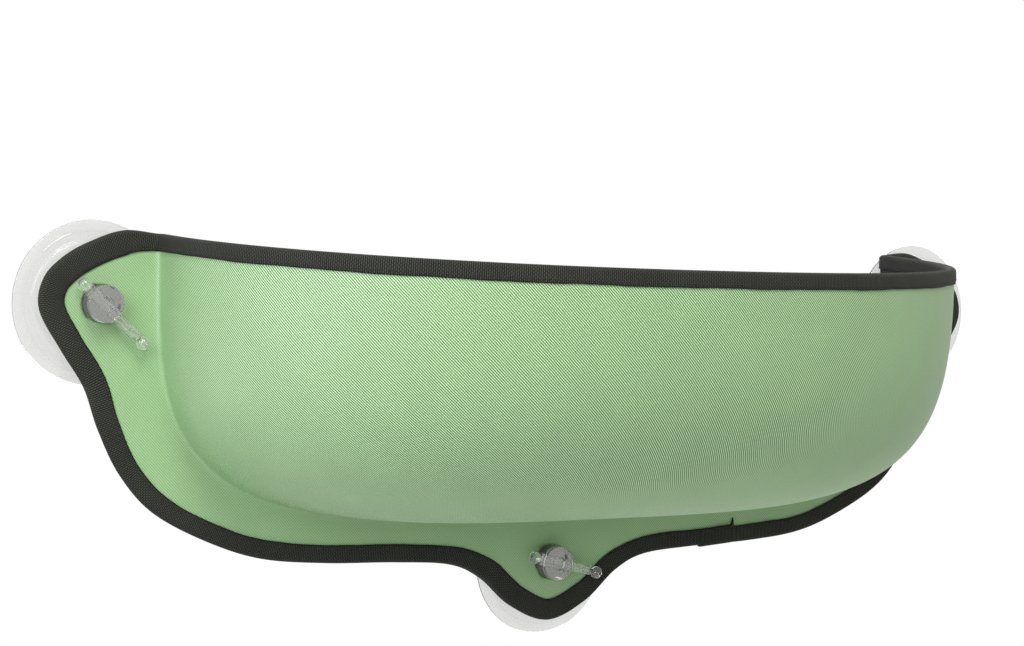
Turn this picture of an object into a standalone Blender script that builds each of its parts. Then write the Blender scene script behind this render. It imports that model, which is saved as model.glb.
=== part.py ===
"""Cat bed that hangs on a window by three suction cups.

A moulded foam shell, faced with green twill and lined with dark cloth, makes a
flat flange against the window and a pocket that bulges into the room. One
folded tape binds its whole edge. Three clear suction cups pass through holes in
the flange, and a clear pin through each cup's head keeps the bed on it.

The origin is on the window glass, midway between the two upper cups. X runs
along the window, the room is towards -Y, and Z is up. Lengths are in metres.
"""

import math

import bmesh
import bpy
import numpy as np
from mathutils import Matrix

MM = 0.001

# Pocket, measured on the outer face of the cover
POCKET_HALF_WIDTH = 262.7 * MM
POCKET_DEPTH = 193.2 * MM
POCKET_HEIGHT = 165.6 * MM
RIM_HEIGHT = 38.4 * MM
RIM_DIP = 12.1 * MM
FLOOR_RISE = 19.4 * MM
PLAN_POWER = 2.2
FACE_POWER = 3.84
SECTION_POWER = 2.96

# Layers of the shell, from the room to the glass
COVER = 0.5 * MM
FOAM = 2.8 * MM
LINING = 0.5 * MM
CLEARANCE = 0.3 * MM
STANDOFF = 8.0 * MM

# Flange
CUP_OUTSET = 34.4 * MM
CUP_BELOW_POCKET = 29.5 * MM
WING_REACH = 33.2 * MM
LOBE_REACH = 35.8 * MM
BOTTOM_BORDER = 23.3 * MM

# Edge tape and its two threads
TAPE = 0.6 * MM
TAPE_ON_RIM = 8.5 * MM
TAPE_ON_WING = 13.0 * MM
TAPE_ON_RUN = 10.0 * MM
TAPE_ON_LOBE = 12.5 * MM
SEAM_INSET = 2.0 * MM
THREAD_RADIUS = 0.3 * MM
LAP_PLACE = 128.0 * MM
LAP_LENGTH = 26.0 * MM

# Suction cup
DISC_RADIUS = 46.0 * MM
LIP = 1.4 * MM
LIP_FLAT = 10.0 * MM
DISC_WAIST = 4.0 * MM
VACUUM_HOLLOW = 0.9 * MM
HUB_RADIUS = 14.0 * MM
HEAD_RADIUS = 10.4 * MM
SLOT_COVER = 1.25 * MM
HEAD_CAP = 1.8 * MM
GROOVE = 0.6 * MM
RECESS_RADIUS = 4.2 * MM
RECESS_DEPTH = 1.7 * MM

# Locking pin
PIN_WIDTH = 6.4 * MM
PIN_TIP_WIDTH = 4.8 * MM
PIN_THICKNESS = 3.0 * MM
PIN_WEB = 1.8 * MM
PIN_RIDGE = 1.4 * MM
PIN_LENGTH = 47.0 * MM
PIN_PLAY = 1.2 * MM
PIN_NECK_RADIUS = 1.7 * MM
PIN_NECK = 1.8 * MM
BALL_RADIUS = 3.75 * MM
PIN_ANGLES = {"left": -43.0, "right": -137.0, "bottom": -14.0}

# Mesh counts, how far past the rim's tape the next row lies, where the flange's rows lie
# between the crease and the outline, and how far a radian of bend draws the points of the
# outline together
COLUMNS = 56
SECTION_ROWS = 9
ROW_PAST_TAPE = 3.5 * MM
FLANGE_ROWS = (0.12, 1.0)
TURN_STEPS = 28
BEND_SPACING = 12.0 * MM

SHELL = COVER + FOAM + LINING + 2 * CLEARANCE
FLANGE_FRONT = STANDOFF + SHELL
POCKET_FLOOR = RIM_HEIGHT - POCKET_HEIGHT
CUP_X = POCKET_HALF_WIDTH + CUP_OUTSET
CUPS = {
    "left": (-CUP_X, 0.0),
    "right": (CUP_X, 0.0),
    "bottom": (0.0, POCKET_FLOOR - CUP_BELOW_POCKET),
}
TAPE_FRONT = FLANGE_FRONT + CLEARANCE + TAPE
THREAD_FRONT = TAPE_FRONT + CLEARANCE + 2 * THREAD_RADIUS
PIN_LEVEL = THREAD_FRONT + CLEARANCE + BALL_RADIUS
SLOT_FRONT = PIN_LEVEL + PIN_THICKNESS / 2 + CLEARANCE
HEAD_FRONT = SLOT_FRONT + SLOT_COVER + RECESS_DEPTH


def clear_scene():
    """Remove what the scene holds, and give the parts and the cutters a collection each."""
    for old in list(bpy.data.objects):
        bpy.data.objects.remove(old, do_unlink=True)
    made = []
    for name in ("suction cup cat bed", "cutters"):
        collection = bpy.data.collections.new(name)
        bpy.context.scene.collection.children.link(collection)
        made.append(collection)
    return made


def material(name, colour, roughness, metallic=0.0, alpha=1.0):
    """One Principled material."""
    made = bpy.data.materials.new(name)
    made.use_nodes = True
    shader = made.node_tree.nodes["Principled BSDF"]
    shader.inputs["Base Color"].default_value = (*colour, 1.0)
    shader.inputs["Roughness"].default_value = roughness
    shader.inputs["Metallic"].default_value = metallic
    shader.inputs["Alpha"].default_value = alpha
    return made


def add_object(name, data, collection, look=None):
    """Link new object data into a collection, with its material."""
    made = bpy.data.objects.new(name, data)
    collection.objects.link(made)
    if look is not None:
        data.materials.append(look)
    return made


def mesh_from(name, points, faces):
    """A mesh of the given points and faces."""
    data = bpy.data.meshes.new(name)
    data.from_pydata([tuple(p) for p in points], [], [tuple(f) for f in faces])
    data.update()
    return data


def cut(target, tool, operation="DIFFERENCE"):
    """Cut or join a tool object into a target with the exact solver."""
    boolean = target.modifiers.new(f"{operation.lower()} {tool.name}", "BOOLEAN")
    boolean.operation = operation
    boolean.solver = "EXACT"
    boolean.object = tool
    tool.hide_render = True
    tool.display_type = "WIRE"


def signed_power(value, power):
    """Power of a value that keeps its sign."""
    return np.sign(value) * np.abs(value) ** power


def walk(points, count, weight=0.0):
    """Points evenly spaced along a dense path, closer together in bends by the weight."""
    steps = np.diff(points, axis=0)
    length = np.linalg.norm(steps, axis=1)
    heading = np.unwrap(np.arctan2(steps[:, 1], steps[:, 0]))
    turn = np.abs(np.gradient(heading))
    cost = np.concatenate([[0.0], np.cumsum(length + weight * turn)])
    stops = np.linspace(0.0, cost[-1], count)
    return np.stack([np.interp(stops, cost, points[:, k]) for k in range(points.shape[1])], axis=1)


def smooth_path(knots, per_span=24):
    """Catmull-Rom curve through the knots, as a dense path."""
    ends = [2 * knots[0] - knots[1], *knots, 2 * knots[-1] - knots[-2]]
    u = np.linspace(0.0, 1.0, per_span, endpoint=False)[:, None]
    spans = []
    for a, b, c, d in zip(ends, ends[1:], ends[2:], ends[3:]):
        curve = 2 * b + (c - a) * u + (2 * a - 5 * b + 4 * c - d) * u**2 + (3 * b - a - 3 * c + d) * u**3
        spans.append(curve / 2)
    return np.vstack([*spans, knots[-1:]])


def flange_outline():
    """Outer edge of the flange in X and Z, from the pocket's left end round to its right end.

    The lobe follows the bottom cup, the run the pocket's floor, the corner the pocket's
    lower corner, and the wing the upper cup and the rim. The points are shares of the sizes
    that they follow.
    """
    lobe_x, lobe_z = CUPS["bottom"]
    lobe = [(0.75, -0.71), (1.37, -0.2), (1.98, 0.06)]
    run = [(0.41, -1.04), (0.59, -0.96)]
    corner = [(-1.94, 1.14), (-0.95, 1.05), (-0.02, 0.916), (0.56, 0.747), (0.94, 0.55), (1.2, 0.362)]
    wing = [(0.6, -0.68), (0.99, -0.1), (0.93, 0.34), (0.6, 0.65), (0.15, 0.87), (-0.42, 1.036)]
    half = [(lobe_x + LOBE_REACH * u, lobe_z + LOBE_REACH * v) for u, v in lobe]
    half += [(POCKET_HALF_WIDTH * u, POCKET_FLOOR + BOTTOM_BORDER * v) for u, v in run]
    half += [(POCKET_HALF_WIDTH + CUP_OUTSET * u, POCKET_FLOOR * v) for u, v in corner]
    half += [(CUP_X + WING_REACH * u, RIM_HEIGHT * v) for u, v in wing]
    half += [(POCKET_HALF_WIDTH, RIM_HEIGHT)]
    left = [(-x, z) for x, z in reversed(half)]
    middle = [(0.0, lobe_z - LOBE_REACH)]
    return smooth_path(np.array(left + middle + half))


def crease_line():
    """Where the pocket meets the flange: a superellipse hung from the rim's two ends."""
    angle = np.linspace(-math.pi / 2, math.pi / 2, 4001)
    across = signed_power(np.sin(angle), 2 / FACE_POWER)
    down = np.cos(angle).clip(0.0) ** (2 / FACE_POWER)
    return np.stack([across * POCKET_HALF_WIDTH, RIM_HEIGHT - down * POCKET_HEIGHT], axis=1)


def section_angles():
    """Angles of the rows of a section, from the rim to the crease.

    The first row below the rim is a little past the end of the rim's tape, and the others
    are evenly spaced along the middle section.
    """
    angle = np.linspace(math.pi / 2, 0.0, 2001)
    out = POCKET_DEPTH * np.sin(angle) ** (2 / SECTION_POWER)
    down = POCKET_HEIGHT * np.cos(angle).clip(0.0) ** (2 / SECTION_POWER)
    place = np.concatenate([[0.0], np.cumsum(np.hypot(np.diff(out), np.diff(down)))])
    past_tape = float(np.interp(TAPE_ON_RIM + ROW_PAST_TAPE, down, place))
    stops = np.concatenate([[0.0], np.linspace(past_tape, place[-1], SECTION_ROWS)])
    return np.interp(stops, place, angle)


def sheet_grid():
    """Front face of the shell as rows of points, from the rim over the crease to the outline.

    At each place across, the pocket's section is a quarter of a superellipse between the
    rim and the crease. Every row starts and ends at the rim's two ends.
    """
    crease = walk(crease_line(), COLUMNS + 1)
    outline = walk(flange_outline(), COLUMNS + 1, weight=BEND_SPACING)
    across = crease[:, 0] / POCKET_HALF_WIDTH
    out = POCKET_DEPTH * (1 - np.abs(across).clip(0.0, 1.0) ** PLAN_POWER) ** (1 / PLAN_POWER)
    down = (RIM_HEIGHT - crease[:, 1]) / POCKET_HEIGHT
    rows = []
    for angle in section_angles():
        forward = out * math.sin(angle) ** (2 / SECTION_POWER)
        fall = down * max(math.cos(angle), 0.0) ** (2 / SECTION_POWER)
        share = forward / POCKET_DEPTH
        height = RIM_HEIGHT - RIM_DIP * share - (POCKET_HEIGHT - FLOOR_RISE * share) * fall
        rows.append(np.stack([crease[:, 0], -FLANGE_FRONT - forward, height], axis=1))
    for share in FLANGE_ROWS:
        place = crease + (outline - crease) * share
        rows.append(np.stack([place[:, 0], np.full(len(place), -FLANGE_FRONT), place[:, 1]], axis=1))
    return np.array(rows)


def sheet_faces(rows, columns):
    """Faces of a grid whose first and last columns are one point each, facing the room."""
    last = rows * (columns - 2)

    def number(row, column):
        if column == 0:
            return last
        if column == columns - 1:
            return last + 1
        return row * (columns - 2) + column - 1

    faces = []
    for row in range(rows - 1):
        for column in range(columns - 1):
            corners = [number(row, column), number(row + 1, column)]
            corners += [number(row + 1, column + 1), number(row, column + 1)]
            faces.append(list(dict.fromkeys(corners)))
    return faces


def sheet_points(grid):
    """Points of a grid, in the numbering that sheet_faces gives them."""
    inner = grid[:, 1:-1].reshape(-1, 3)
    return np.vstack([inner, grid[0, :1], grid[0, -1:]])


def even_normals(points, faces):
    """A vector at each point that, times a distance, moves every face there by that distance."""
    total = np.zeros_like(points)
    reach = np.zeros(len(points))
    parts = []
    for face in faces:
        corners = points[face]
        normal = np.zeros(3)
        for k in range(len(face)):
            normal += np.cross(corners[k - 1], corners[k])
        normal /= np.linalg.norm(normal)
        for k, point in enumerate(face):
            before = corners[k - 1] - corners[k]
            after = corners[(k + 1) % len(face)] - corners[k]
            cosine = before @ after / (np.linalg.norm(before) * np.linalg.norm(after))
            weight = math.acos(max(-1.0, min(1.0, cosine)))
            total[point] += weight * normal
            parts.append((point, weight, normal))
    total /= np.linalg.norm(total, axis=1)[:, None]
    share = np.zeros(len(points))
    for point, weight, normal in parts:
        share[point] += weight * (normal @ total[point])
        reach[point] += weight
    return total * (reach / share)[:, None]


def shell_layer(name, depth, thickness, look, parts, cutters):
    """One layer of the shell: the front face sunk by a depth, made solid, with the cup holes."""
    grid = sheet_grid()
    points = sheet_points(grid)
    faces = sheet_faces(*grid.shape[:2])
    sunk = points - even_normals(points, faces) * depth
    layer = add_object(name, mesh_from(name, sunk, faces), parts, look)
    layer.data.shade_smooth()
    solid = layer.modifiers.new("thickness", "SOLIDIFY")
    solid.thickness = thickness
    solid.offset = -1.0
    solid.use_even_offset = True
    solid.use_quality_normals = True
    for tool in cutters:
        cut(layer, tool)
    joined = layer.modifiers.new("joined points", "WELD")
    joined.merge_threshold = 0.02 * MM
    return layer


def hole_cutters(collection):
    """A cylinder through the flange for each cup's head."""
    tools = []
    for side, (x, z) in CUPS.items():
        data = bpy.data.meshes.new(f"hole {side}")
        form = bmesh.new()
        turned = Matrix.Translation((x, -FLANGE_FRONT, z)) @ Matrix.Rotation(math.pi / 2, 4, "X")
        radius = HEAD_RADIUS + CLEARANCE
        bmesh.ops.create_cone(
            form, cap_ends=True, segments=TURN_STEPS, radius1=radius, radius2=radius,
            depth=4 * SHELL, matrix=turned,
        )
        form.to_mesh(data)
        form.free()
        tools.append(add_object(f"hole {side}", data, collection))
    return tools


def edge_loop():
    """The shell's whole edge as a closed loop: for each station its place, outward vector,
    inward vector, tape width and thickness of tape on the face.

    The outward vector moves the front face, and the inward vector runs along the sheet
    away from its edge. Both carry the mitre at the rim's two ends. The tape's two ends lie
    over each other on the lower right run, where it is twice as thick.
    """
    grid = sheet_grid()
    rim = grid[0]
    outline = grid[-1][::-1]
    down = np.array([0.0, 0.0, -1.0])
    rim_out = np.cross(down, np.gradient(rim, axis=0))
    rim_out[0] = (-1.0, 0.0, 0.0)
    rim_out[-1] = (1.0, 0.0, 0.0)
    rim_out /= np.linalg.norm(rim_out, axis=1)[:, None]
    room = np.array([0.0, -1.0, 0.0])
    along = np.diff(outline, axis=0)
    along /= np.linalg.norm(along, axis=1)[:, None]
    inward = np.cross(along, room)
    corner = inward[:-1] + inward[1:]
    corner /= 1 + (inward[:-1] * inward[1:]).sum(axis=1)[:, None]
    flange_out = np.tile(room, (len(corner), 1))
    places = np.vstack([rim, outline[1:-1]])
    rim_out[0] += room
    rim_out[-1] += room
    outs = np.vstack([rim_out, flange_out])
    inwards = np.vstack([np.tile(down, (len(rim), 1)), corner])
    lapped = (np.abs(places[:, 0] - LAP_PLACE) < LAP_LENGTH / 2) & (places[:, 2] < POCKET_FLOOR)
    thick = np.where(lapped, 2 * TAPE, TAPE)
    return list(zip(places, outs, inwards, tape_widths(places, len(rim)), thick))


def smooth_step(value):
    """Eased value from 0 to 1."""
    value = np.clip(value, 0.0, 1.0)
    return value * value * (3 - 2 * value)


def tape_widths(places, rim_count):
    """Width of the tape on the face: wider on the wings and the lobe than on rim and runs."""
    x, z = np.abs(places[:, 0]), places[:, 2]
    wing = smooth_step((z - POCKET_FLOOR) / (RIM_HEIGHT - POCKET_FLOOR))
    lobe = smooth_step((POCKET_FLOOR - BOTTOM_BORDER - z) / (LOBE_REACH / 2))
    flange = TAPE_ON_RUN + (TAPE_ON_WING - TAPE_ON_RUN) * wing + (TAPE_ON_LOBE - TAPE_ON_RUN) * lobe
    from_rim = np.hypot(x - POCKET_HALF_WIDTH, z - RIM_HEIGHT)
    flange = TAPE_ON_RIM + (flange - TAPE_ON_RIM) * smooth_step(from_rim / (2 * TAPE_ON_WING))
    on_rim = np.arange(len(x)) < rim_count
    return np.where(on_rim, TAPE_ON_RIM, flange)


def edge_binding(look, parts):
    """Tape folded over the shell's edge: a U section carried round the edge loop."""
    front = CLEARANCE
    back = -SHELL - CLEARANCE
    points = []
    stations = edge_loop()
    for place, out, inward, width, thick in stations:
        section = [
            (front, width), (front + thick, width), (front + thick, 0.0), (front, -front - thick),
            (back, -front - thick), (back - TAPE, 0.0), (back - TAPE, width), (back, width),
            (back, -front), (front, -front),
        ]
        points += [place + out * n + inward * b for n, b in section]
    count = len(section)
    loops = len(stations)
    faces = []
    for i in range(loops):
        for k in range(count):
            a = i * count + k
            b = i * count + (k + 1) % count
            c = (i + 1) % loops * count + (k + 1) % count
            d = (i + 1) % loops * count + k
            faces.append((d, c, b, a))
    return add_object("edge_binding", mesh_from("edge_binding", points, faces), parts, look)


def thread(name, side, look, parts):
    """One thread of the seam, laid along the tape on the shell's room side or its glass side."""
    stations = edge_loop()
    data = bpy.data.curves.new(name, "CURVE")
    data.dimensions = "3D"
    data.bevel_depth = THREAD_RADIUS
    data.bevel_resolution = 0
    line = data.splines.new("POLY")
    line.points.add(len(stations) - 1)
    for point, (place, out, inward, width, thick) in zip(line.points, stations):
        room_level = 2 * CLEARANCE + thick + THREAD_RADIUS
        glass_level = -SHELL - 2 * CLEARANCE - TAPE - THREAD_RADIUS
        level = room_level if side == "room" else glass_level
        point.co = (*(place + out * level + inward * (width - SEAM_INSET)), 1.0)
    line.use_cyclic_u = True
    return add_object(name, data, parts, look)


def cup_profile():
    """Half section of a suction cup, from the axis at its front out and down to the glass."""
    hub = STANDOFF - CLEARANCE
    cap = HEAD_FRONT - HEAD_CAP
    waist = HUB_RADIUS + hub - DISC_WAIST
    flat = DISC_RADIUS - LIP_FLAT
    edge = 0.6 * MM
    return [
        (0.0, HEAD_FRONT - RECESS_DEPTH), (RECESS_RADIUS, HEAD_FRONT - RECESS_DEPTH),
        (RECESS_RADIUS, HEAD_FRONT), (HEAD_RADIUS - edge, HEAD_FRONT),
        (HEAD_RADIUS, HEAD_FRONT - edge), (HEAD_RADIUS, cap), (HEAD_RADIUS - GROOVE, cap),
        (HEAD_RADIUS - GROOVE, cap - GROOVE), (HEAD_RADIUS, cap - GROOVE), (HEAD_RADIUS, hub),
        (HUB_RADIUS, hub), (waist, DISC_WAIST), (DISC_RADIUS - edge, LIP), (DISC_RADIUS, LIP / 2),
        (DISC_RADIUS - edge, 0.0), (flat, 0.0), (flat - 2 * VACUUM_HOLLOW, VACUUM_HOLLOW),
        (0.0, VACUUM_HOLLOW),
    ]


def suction_cup(side, look, parts, cutters):
    """A clear cup with its disc on the glass, its head in the room and a slot for the pin."""
    x, z = CUPS[side]
    profile = cup_profile()
    data = bpy.data.meshes.new(f"suction_cup_{side}")
    edges = [(k, k + 1) for k in range(len(profile) - 1)]
    data.from_pydata([(r, 0.0, h) for r, h in profile], edges, [])
    cup = add_object(f"suction_cup_{side}", data, parts, look)
    cup.location = (x, 0.0, z)
    cup.rotation_euler = (math.pi / 2, 0.0, 0.0)
    turned = cup.modifiers.new("turned", "SCREW")
    turned.angle = 2 * math.pi
    turned.steps = TURN_STEPS
    turned.render_steps = TURN_STEPS
    turned.use_merge_vertices = True
    turned.merge_threshold = 0.01 * MM
    turned.use_smooth_shade = False
    slot = bpy.data.meshes.new(f"slot {side}")
    form = bmesh.new()
    bmesh.ops.create_cube(form, size=1.0)
    size = (4 * HEAD_RADIUS, PIN_WIDTH + 2 * CLEARANCE, PIN_THICKNESS + 2 * CLEARANCE)
    bmesh.ops.scale(form, vec=size, verts=form.verts)
    form.to_mesh(slot)
    form.free()
    tool = add_object(f"slot {side}", slot, cutters)
    tool.matrix_world = pin_frame(side)
    cut(cup, tool)
    return cup


def pin_frame(side):
    """Frame of a pin: X along the pin, Z out of the window, its origin on the cup's axis."""
    x, z = CUPS[side]
    lean = Matrix.Rotation(-math.radians(PIN_ANGLES[side]), 4, "Y")
    return Matrix.Translation((x, -PIN_LEVEL, z)) @ lean @ Matrix.Rotation(math.pi / 2, 4, "X")


def pin_bar(name, start, end):
    """The pin's flat bar, with a ridge along each side of both faces, narrowing to its tip."""
    points = []
    for place, width in ((start, PIN_WIDTH), (end, PIN_TIP_WIDTH)):
        half = width / 2
        ridge = half - PIN_RIDGE
        thick = PIN_THICKNESS / 2
        web = PIN_WEB / 2
        section = [
            (half, -thick), (half, thick), (ridge, thick), (ridge, web), (-ridge, web),
            (-ridge, thick), (-half, thick), (-half, -thick), (-ridge, -thick), (-ridge, -web),
            (ridge, -web), (ridge, -thick),
        ]
        points += [(place, u, v) for u, v in section]
    count = len(section)
    faces = [tuple(reversed(range(count))), tuple(range(count, 2 * count))]
    faces += [(k, (k + 1) % count, count + (k + 1) % count, count + k) for k in range(count)]
    return mesh_from(name, points, faces)


def locking_pin(side, look, parts, cutters):
    """A clear pin through the cup's head: a ridged bar with a ball on each end."""
    near = -(HEAD_RADIUS + PIN_PLAY + BALL_RADIUS)
    far = near + PIN_LENGTH
    bar_end = far - BALL_RADIUS - PIN_NECK
    name = f"locking_pin_{side}"
    pin = add_object(name, pin_bar(name, near, bar_end), parts, look)
    pin.matrix_world = pin_frame(side)
    for label, place in (("near ball", near), ("far ball", far)):
        data = bpy.data.meshes.new(f"{label} {side}")
        form = bmesh.new()
        bmesh.ops.create_uvsphere(form, u_segments=12, v_segments=8, radius=BALL_RADIUS)
        form.to_mesh(data)
        form.free()
        ball = add_object(f"{label} {side}", data, cutters)
        ball.matrix_world = pin_frame(side) @ Matrix.Translation((place, 0.0, 0.0))
        cut(pin, ball, "UNION")
    data = bpy.data.meshes.new(f"neck {side}")
    form = bmesh.new()
    bmesh.ops.create_cone(
        form, cap_ends=True, segments=12, radius1=PIN_NECK_RADIUS, radius2=PIN_NECK_RADIUS,
        depth=2 * BALL_RADIUS + 2 * PIN_NECK, matrix=Matrix.Rotation(math.pi / 2, 4, "Y"),
    )
    form.to_mesh(data)
    form.free()
    neck = add_object(f"neck {side}", data, cutters)
    neck.matrix_world = pin_frame(side) @ Matrix.Translation((far - BALL_RADIUS - PIN_NECK, 0.0, 0.0))
    cut(pin, neck, "UNION")
    return pin


def build():
    """Make every piece of the bed."""
    parts, cutters = clear_scene()
    green = material("green twill", (0.33, 0.52, 0.29), 0.85)
    foam = material("dark foam", (0.05, 0.05, 0.05), 0.9)
    dark = material("dark lining", (0.018, 0.02, 0.018), 0.95)
    tape = material("charcoal tape", (0.025, 0.027, 0.022), 0.8)
    cord = material("black thread", (0.02, 0.02, 0.018), 0.7)
    clear = material("clear vinyl", (0.62, 0.62, 0.58), 0.15, alpha=0.5)

    holes = hole_cutters(cutters)
    shell_layer("outer_cover", 0.0, COVER, green, parts, holes)
    shell_layer("foam_core", COVER + CLEARANCE, FOAM, foam, parts, holes)
    shell_layer("inner_lining", COVER + FOAM + 2 * CLEARANCE, LINING, dark, parts, holes)
    edge_binding(tape, parts)
    thread("needle_thread", "room", cord, parts)
    thread("bobbin_thread", "glass", cord, parts)
    for side in CUPS:
        suction_cup(side, clear, parts, cutters)
        locking_pin(side, clear, parts, cutters)


build()
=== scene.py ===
"""Looks of a suction cup cat bed, dressed over its CAD solids.

A foam shell faced with green twill and lined with dark knit makes a flat flange and a
pocket. A ribbed tape, sewn down with two threads, binds its edge. Three clear cups hold it
to a window, each with a clear pin through its head.

The frame is the CAD's: the origin is on the glass midway between the upper cups, X runs
along the window, the room is towards -Y and Z is up. Lengths are in metres.
"""

import math

import bmesh
import bpy
import numpy as np
from mathutils import Matrix


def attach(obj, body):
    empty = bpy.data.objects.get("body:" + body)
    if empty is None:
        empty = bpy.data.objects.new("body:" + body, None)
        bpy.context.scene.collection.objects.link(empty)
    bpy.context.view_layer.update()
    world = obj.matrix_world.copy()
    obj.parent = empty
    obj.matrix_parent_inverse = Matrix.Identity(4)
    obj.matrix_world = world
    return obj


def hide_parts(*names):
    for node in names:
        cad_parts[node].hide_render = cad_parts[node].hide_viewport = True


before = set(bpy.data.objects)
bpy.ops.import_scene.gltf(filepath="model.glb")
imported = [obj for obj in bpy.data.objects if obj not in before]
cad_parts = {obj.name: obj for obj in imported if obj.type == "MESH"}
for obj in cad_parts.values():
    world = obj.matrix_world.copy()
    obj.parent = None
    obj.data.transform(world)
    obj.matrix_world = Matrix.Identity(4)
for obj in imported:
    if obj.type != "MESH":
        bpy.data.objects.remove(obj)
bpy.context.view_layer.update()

MM = 0.001
DOWN = np.array([0.0, 0.0, -1.0])
ROOM = np.array([0.0, -1.0, 0.0])

# Sizes that the CAD solids have
POCKET_HALF_WIDTH = 262.7 * MM
POCKET_DEPTH = 193.2 * MM
POCKET_HEIGHT = 165.6 * MM
RIM_HEIGHT = 38.4 * MM
RIM_DIP = 12.1 * MM
FLOOR_RISE = 19.4 * MM
PLAN_POWER = 2.2
FACE_POWER = 3.84
SECTION_POWER = 2.96
COVER = 0.5 * MM
FOAM = 2.8 * MM
LINING = 0.5 * MM
CLEARANCE = 0.3 * MM
STANDOFF = 8.0 * MM
CUP_OUTSET = 34.4 * MM
CUP_BELOW_POCKET = 29.5 * MM
WING_REACH = 33.2 * MM
LOBE_REACH = 35.8 * MM
BOTTOM_BORDER = 23.3 * MM
TAPE = 0.6 * MM
TAPE_ON_RIM = 8.5 * MM
TAPE_ON_WING = 13.0 * MM
TAPE_ON_RUN = 10.0 * MM
TAPE_ON_LOBE = 12.5 * MM
SEAM_INSET = 2.0 * MM
THREAD_RADIUS = 0.3 * MM
LAP_PLACE = 128.0 * MM
LAP_LENGTH = 26.0 * MM
DISC_RADIUS = 46.0 * MM
LIP = 1.4 * MM
LIP_FLAT = 10.0 * MM
DISC_WAIST = 4.0 * MM
VACUUM_HOLLOW = 0.9 * MM
HUB_RADIUS = 14.0 * MM
HEAD_RADIUS = 10.4 * MM
SLOT_COVER = 1.25 * MM
HEAD_CAP = 1.8 * MM
GROOVE = 0.6 * MM
RECESS_RADIUS = 4.2 * MM
RECESS_DEPTH = 1.7 * MM
PIN_WIDTH = 6.4 * MM
PIN_TIP_WIDTH = 4.8 * MM
PIN_THICKNESS = 3.0 * MM
PIN_WEB = 1.8 * MM
PIN_RIDGE = 1.4 * MM
PIN_LENGTH = 47.0 * MM
PIN_PLAY = 1.2 * MM
PIN_NECK_RADIUS = 1.7 * MM
PIN_NECK = 1.8 * MM
BALL_RADIUS = 3.75 * MM
PIN_ANGLES = {"left": -43.0, "right": -137.0, "bottom": -14.0}
BEND_SPACING = 12.0 * MM

SHELL = COVER + FOAM + LINING + 2 * CLEARANCE
FLANGE_FRONT = STANDOFF + SHELL
POCKET_FLOOR = RIM_HEIGHT - POCKET_HEIGHT
CUP_X = POCKET_HALF_WIDTH + CUP_OUTSET
CUPS = {
    "left": (-CUP_X, 0.0),
    "right": (CUP_X, 0.0),
    "bottom": (0.0, POCKET_FLOOR - CUP_BELOW_POCKET),
}
TAPE_FRONT = FLANGE_FRONT + CLEARANCE + TAPE
THREAD_FRONT = TAPE_FRONT + CLEARANCE + 2 * THREAD_RADIUS
PIN_LEVEL = THREAD_FRONT + CLEARANCE + BALL_RADIUS
SLOT_FRONT = PIN_LEVEL + PIN_THICKNESS / 2 + CLEARANCE
HEAD_FRONT = SLOT_FRONT + SLOT_COVER + RECESS_DEPTH

# Sizes that only the looks have
CREASE_FILLET = 3.4 * MM
EDGE_INSET = 0.9 * MM
FOLD_DEPTH = 2.4 * MM
LAP_LEAN = 1.2 * MM
LAP_FRAY = 4.5 * MM
TAPE_LIP = 0.2 * MM
TAPE_WAVER = 0.25 * MM
TAPE_PUFF = 0.12 * MM
STITCH = 3.1 * MM
STITCH_SHARE = 0.86
STITCH_SLANT = 0.35 * MM
TWILL_RIB = 1.18 * MM
TWILL_THREAD = 0.9 * MM
TWILL_LEAN = math.radians(46.0)
TWILL_STEP = 0.37
TWILL_MEAN = 0.43
DRAWN_LEAN = 0.35
KNIT_WALE = 1.5 * MM
KNIT_COURSE = 1.1 * MM
TAPE_RIB = 1.15 * MM
TAPE_THREAD = 2.0 * MM
HOLE_RADIUS = HEAD_RADIUS + CLEARANCE
DISC_RING_INSET = 6.5 * MM
DISC_RING_WIDTH = 1.4 * MM
DISC_RING_RISE = 0.28 * MM
DRAFT = 0.05 * MM
SLOT_ROUNDING = 0.35 * MM
PIN_ROUNDING = 0.28 * MM

# How finely lines and curves are worked out
LINE_POINTS = 8001
TABLE_POINTS = 3001
CREASE_ROWS = 7
TAPE_STATIONS = 1400
STITCH_STATIONS = 5600


# Meshes


def new_object(name, data):
    """An object of its data, in the scene."""
    made = bpy.data.objects.new(name, data)
    bpy.context.scene.collection.objects.link(made)
    return made


def new_mesh(name, points, polygons):
    """A mesh of points and polygons."""
    data = bpy.data.meshes.new(name)
    data.from_pydata(np.asarray(points).tolist(), [], polygons)
    return data


def grid_faces(rows, columns, close_rows=False, close_columns=False):
    """Quads of a grid of rows times columns points, wound so that rows x columns faces out."""
    i = np.arange(rows if close_rows else rows - 1)[:, None]
    j = np.arange(columns if close_columns else columns - 1)[None, :]
    below = (i + 1) % rows
    right = (j + 1) % columns
    quads = [i * columns + j, below * columns + j, below * columns + right, i * columns + right]
    return np.stack(np.broadcast_arrays(*quads), axis=-1).reshape(-1, 4)


def mesh_piece(name, points, faces, uv=None):
    """A mesh object of the given points and polygons, with a UV map named cloth in metres.

    The map gives a place to each corner of each polygon. Corners that share a point are
    joined to one, and polygons left with fewer than three are dropped.
    """
    faces = np.asarray(faces)
    fresh = faces != np.roll(faces, 1, axis=1)
    kept = fresh.sum(axis=1) > 2
    polygons = [
        [point for point, is_new in zip(face, news) if is_new]
        for face, news in zip(faces[kept].tolist(), fresh[kept])
    ]
    data = new_mesh(name, points, polygons)
    if uv is not None:
        layer = data.uv_layers.new(name="cloth")
        layer.data.foreach_set("uv", np.asarray(uv, dtype=np.float32)[kept][fresh[kept]].ravel())
    data.shade_smooth()
    return new_object(name, data)


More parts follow.
